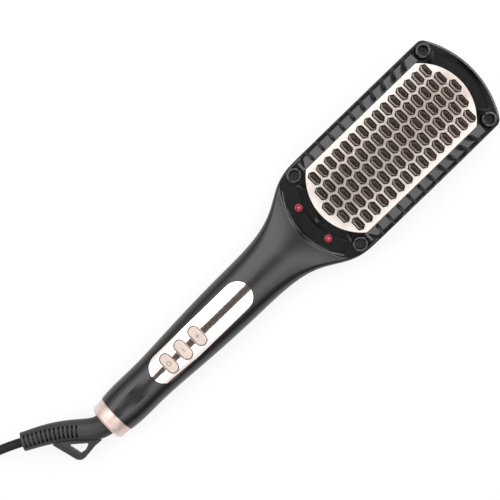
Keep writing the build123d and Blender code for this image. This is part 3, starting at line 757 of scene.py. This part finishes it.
# soft forms of the frame: a ledge that slopes to the rim and a rounded lip under the lamps

ledgePlan = {
    "across": (24.95, 31.25),
    "rise": (1.25, 0.05),         # over the ledge's floor, at the plate and at the rim
    "drop": 3.8,                  # the floor below the crown
    "sink": 0.3,                  # how far it goes into the floor
    "along": (35.3, 125.8),
    "steps": 30,
}


def makeLedgeSlopes(plan, crown=crownPlan):
    whole = bmesh.new()
    lean = [math.asin((y - crown["middleY"]) / crown["radius"]) for y in plan["along"]]
    pivot = Vector((0, crown["middleY"], crown["topZ"] - crown["radius"])) * mm
    floor = crown["radius"] - plan["drop"]
    inner, outer = plan["across"]
    high, low = plan["rise"]
    corners = [(inner, -plan["sink"]), (outer, -plan["sink"]), (outer, low), (inner, high)]
    for side in (-1, 1):
        bm = bmesh.new()
        profile = bm.faces.new([bm.verts.new((side * x * mm, 0, (floor + z) * mm)) for x, z in corners])
        bmesh.ops.rotate(bm, verts=bm.verts, matrix=Matrix.Rotation(-lean[0], 3, "X"))
        bmesh.ops.translate(bm, verts=bm.verts, vec=pivot)
        bmesh.ops.spin(bm, geom=[profile, *profile.edges, *profile.verts], cent=pivot, axis=(-1, 0, 0),
                       angle=lean[1] - lean[0], steps=plan["steps"])
        bmesh.ops.recalc_face_normals(bm, faces=bm.faces)
        addMesh(whole, bm)
    return whole


linkPiece("ledgeSlopes", makeLedgeSlopes(ledgePlan), materials["frameBlack"], "brush")

rimPlan = {
    "centreY": 87.0,
    "profile": [(56.4, -0.3), (56.5, 0.16), (56.7, 0.30), (57.0, 0.29), (57.85, 0.13), (57.95, -0.1),
                (57.85, -0.6)],
    "drop": 1.15,                      # the rim's face below the crown
    "halfAngle": 30.5,
    "steps": 48,
    "endFade": 0.08,
}


def makeRimBead(plan):
    # the rim of the head's end falls away outwards in a narrow slope
    bm = sweepArc(plan["profile"], plan["halfAngle"], plan["steps"], 1)
    for vert in bm.verts:
        rise = fadedRise(vert, plan["halfAngle"], plan["endFade"], 1)
        vert.co.y += plan["centreY"] * mm
        vert.co.z = (crownHeight(vert.co.y / mm) - plan["drop"]) * mm + rise
    bmesh.ops.recalc_face_normals(bm, faces=bm.faces)
    return bm


linkPiece("rimBead", makeRimBead(rimPlan), materials["frameBlack"], "brush", sharpAngle=60)

bossPlan = {
    "places": [(27.0, 131.4), (27.0, 30.0)],
    "profile": [(-0.25, 2.85), (0.12, 2.9), (0.38, 3.15), (0.45, 3.5), (0.30, 4.0), (0.05, 4.4),
                (-0.25, 4.5)],         # height and radius
    "crest": 3.5,                      # the radius at which it's set down on the boss
    "steps": 28,
}


def makeBossBeads(plan):
    # a rounded edge round each sunk screw
    under = surfaceTree("head_frame")
    whole = bmesh.new()
    for x, y in plan["places"]:
        for side in (-1, 1):
            middle = Vector((side * x, y, 0)) * mm
            top = max(topAt(under, middle + Vector((*spoke, 0)) * plan["crest"] * mm)
                      for spoke in ((1, 0), (0, 1), (-1, 0), (0, -1)))
            place = middle + Vector((0, 0, top))
            addMesh(whole, spinRing(plan["profile"], (0, 0, 1), place, plan["steps"]))
    return whole


linkPiece("bossBeads", makeBossBeads(bossPlan), materials["frameBlack"], "brush",
          sharpAngle=60)

lipPlan = {
    "centreY": 55.0,
    "profile": [(43.2, -0.3), (43.6, 0.15), (44.1, 0.10), (44.6, 0.40), (45.1, 0.46), (45.7, 0.30),
                (46.3, 0.04), (46.5, -0.3)],         # radius and height over what lies below
    "onShell": 44.0,                   # from here on the height counts from the handle's shell
    "shellEdge": 45.5,                 # the shell's height is read no nearer than this
    "halfAngle": 35.0,
    "steps": 40,
    "endFade": 0.3,
}


def makeLipBead(plan):
    # a rounded lip between the sunk dish and the handle's shell, laid on both
    dish, shell = surfaceTree("head_frame"), surfaceTree("handle_front_shell")
    middle = Vector((0, plan["centreY"] * mm, 0))
    bm = sweepArc(plan["profile"], plan["halfAngle"], plan["steps"], -1)
    for vert in bm.verts:
        rise = fadedRise(vert, plan["halfAngle"], plan["endFade"], -1)
        flat = Vector((vert.co.x, vert.co.y, 0))
        if flat.length > plan["onShell"] * mm:
            probe = middle + flat.normalized() * max(flat.length, plan["shellEdge"] * mm)
            base = topAt(shell, probe)
        else:
            base = topAt(dish, middle + flat)
        vert.co = middle + flat + Vector((0, 0, base + rise))
    bmesh.ops.recalc_face_normals(bm, faces=bm.faces)
    return bm


linkPiece("lipBead", makeLipBead(lipPlan), materials["frameBlack"], "brush", sharpAngle=60)
print("frame softened")


# signs on the keys: printed flat, each rides on its key

signPlan = {
    "power": {"body": "power_button", "y": -94.2},
    "minus": {"body": "minus_button", "y": -83.1},
    "plus": {"body": "plus_button", "y": -72.0},
    "stroke": 0.42,
    "reach": 1.25,           # radius of the power sign's ring
    "arm": 1.375,            # from the middle of a plus or minus to its ends
    "ringAngle": 280,
    "bar": {"length": 1.5, "y": 0.9},
    "lift": 0.03,
}


def addBar(bm, centre, length, width):
    made = bmesh.ops.create_grid(bm, x_segments=1, y_segments=1, size=0.5)["verts"]
    bmesh.ops.scale(bm, verts=made, vec=(length * mm, width * mm, 1))
    bmesh.ops.translate(bm, verts=made, vec=Vector((*centre, 0)) * mm)


def makeSign(name, plan):
    bm = bmesh.new()
    stroke, reach, arm = plan["stroke"], plan["reach"], plan["arm"]
    if name == "power":
        turn = math.radians(plan["ringAngle"])
        start = bm.verts.new((0, -(reach + stroke / 2) * mm, 0))
        end = bm.verts.new((0, -(reach - stroke / 2) * mm, 0))
        line = bm.edges.new((start, end))
        bmesh.ops.rotate(bm, verts=[start, end], matrix=Matrix.Rotation(-turn / 2, 3, "Z"))
        bmesh.ops.spin(bm, geom=[start, end, line], axis=(0, 0, 1), angle=turn, steps=28)
        addBar(bm, (0, plan["bar"]["y"]), stroke, plan["bar"]["length"])
    else:
        addBar(bm, (0, 0), 2 * arm, stroke)
        if name == "plus":
            for side in (1, -1):
                addBar(bm, (0, side * (arm + stroke / 2) / 2), stroke, arm - stroke / 2)
    bmesh.ops.remove_doubles(bm, verts=bm.verts, dist=1e-6)
    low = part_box(plan[name]["body"])[1].z + plan["lift"] * mm
    bmesh.ops.translate(bm, verts=bm.verts, vec=(0, plan[name]["y"] * mm, low))
    bmesh.ops.recalc_face_normals(bm, faces=bm.faces)
    if sum(face.normal.z for face in bm.faces) < 0:
        bmesh.ops.reverse_faces(bm, faces=bm.faces)
    return bm


for name in ("power", "minus", "plus"):
    linkPiece(name + "Sign", makeSign(name, signPlan), materials["signGrey"], signPlan[name]["body"])
print("keys marked")


# floor, lamps and world

studioPlan = {
    "floorTone": 0.90,
    "floorGlow": 0.84,
    "floorReach": 3.0,
    "floorDrop": 0.0002,
    "lampGap": 0.165,                # half the dark gap between the two long lamps
    "gapMiddle": 0.025,
    "lampLength": 3.0,
    "lampHeight": 1.0,
    "longLamps": [("leftLamp", -1, 1.0, 1.75), ("rightLamp", 1, 0.50, 1.45)],     # side, width, glow
    "backLamp": {"size": (1.3, 0.20), "place": (0, 1.35, 1.0), "glow": 13.0},     # a glow of 1 is white
    "worldLight": 0.42,
    "flagTone": (0.10, 0.085, 0.08),
    "overhead": (-1.5, 1.0),         # the overhead flag's reach along the brush
    "sideFlags": [("rightFlag", 0.7, 0.95), ("leftFlag", 0.35, -1.25)],           # height and x
}


def seenRays(tree):
    # 1 for the rays that show the background: straight from the camera, off metal or through glass
    path = addNode(tree, "LightPath")
    direct = addNode(tree, "Math", operation="MAXIMUM")
    every = addNode(tree, "Math", operation="MAXIMUM")
    tree.links.new(path.outputs["Is Camera Ray"], direct.inputs[0])
    tree.links.new(path.outputs["Is Glossy Ray"], direct.inputs[1])
    tree.links.new(direct.outputs[0], every.inputs[0])
    tree.links.new(path.outputs["Is Transmission Ray"], every.inputs[1])
    return every.outputs[0]


def makeFloor(plan):
    bm = bmesh.new()
    bmesh.ops.create_grid(bm, x_segments=1, y_segments=1, size=plan["floorReach"])
    mesh = bpy.data.meshes.new("floor")
    bm.to_mesh(mesh)
    bm.free()
    floor = bpy.data.objects.new("floor", mesh)
    floor.location.z = -plan["floorDrop"]
    bpy.context.scene.collection.objects.link(floor)
    material = bpy.data.materials.new("floorPaper")
    material.use_nodes = True
    tree = material.node_tree
    shader = tree.nodes["Principled BSDF"]
    shader.inputs["Roughness"].default_value = 0.9
    shader.inputs["Base Color"].default_value = (*[plan["floorTone"]] * 3, 1)
    glow = addNode(tree, "Emission", values={"Color": (1, 1, 1, 1), "Strength": 1.0})
    share = addNode(tree, "Math", operation="MULTIPLY", values={1: plan["floorGlow"]})
    mix = addNode(tree, "MixShader")
    link = tree.links.new
    link(seenRays(tree), share.inputs[0])
    link(share.outputs[0], mix.inputs["Fac"])
    link(shader.outputs["BSDF"], mix.inputs[1])
    link(glow.outputs["Emission"], mix.inputs[2])
    link(mix.outputs["Shader"], tree.nodes["Material Output"].inputs["Surface"])
    mesh.materials.append(material)


def makeLamp(name, size, place, glow):
    # a rectangle that faces the brush
    lamp = bpy.data.lights.new(name, "AREA")
    lamp.shape = "RECTANGLE"
    lamp.size, lamp.size_y = size
    lamp.energy = math.pi * glow * size[0] * size[1]
    holder = bpy.data.objects.new(name, lamp)
    holder.location = place
    holder.rotation_euler.x = -math.atan2(place[1], place[2])
    bpy.context.scene.collection.objects.link(holder)


def makeFlag(name, width, length, place, turn, plan):
    # dark cloth that only shiny faces see: overhead it draws the dark line along the handle
    bm = bmesh.new()
    bmesh.ops.create_grid(bm, x_segments=1, y_segments=1, size=0.5)
    bmesh.ops.scale(bm, verts=bm.verts, vec=(width, length, 1))
    bmesh.ops.rotate(bm, verts=bm.verts, matrix=Matrix.Rotation(math.radians(turn), 3, "Y"))
    bmesh.ops.translate(bm, verts=bm.verts, vec=place)
    mesh = bpy.data.meshes.new(name)
    bm.to_mesh(mesh)
    bm.free()
    flag = bpy.data.objects.new(name, mesh)
    flag.visible_camera = False
    flag.visible_shadow = False
    flag.visible_diffuse = False
    bpy.context.scene.collection.objects.link(flag)
    material = bpy.data.materials.new(name + "Cloth")
    material.use_nodes = True
    tree = material.node_tree
    glow = addNode(tree, "Emission", values={"Color": (*plan["flagTone"], 1), "Strength": 1.0})
    tree.links.new(glow.outputs["Emission"], tree.nodes["Material Output"].inputs["Surface"])
    mesh.materials.append(material)


def makeWorld(plan):
    world = bpy.data.worlds.new("studio")
    bpy.context.scene.world = world
    world.use_nodes = True
    tree = world.node_tree
    background = tree.nodes["Background"]
    strength = addNode(tree, "MapRange", values={"To Min": plan["worldLight"], "To Max": 1.0})
    tree.links.new(seenRays(tree), strength.inputs["Value"])
    background.inputs["Color"].default_value = (1, 1, 1, 1)
    tree.links.new(strength.outputs["Result"], background.inputs["Strength"])


makeFloor(studioPlan)
for name, side, width, glow in studioPlan["longLamps"]:
    x = studioPlan["gapMiddle"] + side * (studioPlan["lampGap"] + width / 2)
    makeLamp(name, (width, studioPlan["lampLength"]), (x, 0, studioPlan["lampHeight"]), glow)
makeLamp("backLamp", **studioPlan["backLamp"])
low, high = studioPlan["overhead"]
makeFlag("overheadFlag", 2 * studioPlan["lampGap"], high - low,
         (studioPlan["gapMiddle"], (low + high) / 2, studioPlan["lampHeight"]), 0, studioPlan)
for name, height, x in studioPlan["sideFlags"]:
    makeFlag(name, height, studioPlan["lampLength"], (x, 0, height / 2), 90, studioPlan)
makeWorld(studioPlan)
bpy.context.scene.view_settings.view_transform = "Standard"
print("studio ready")
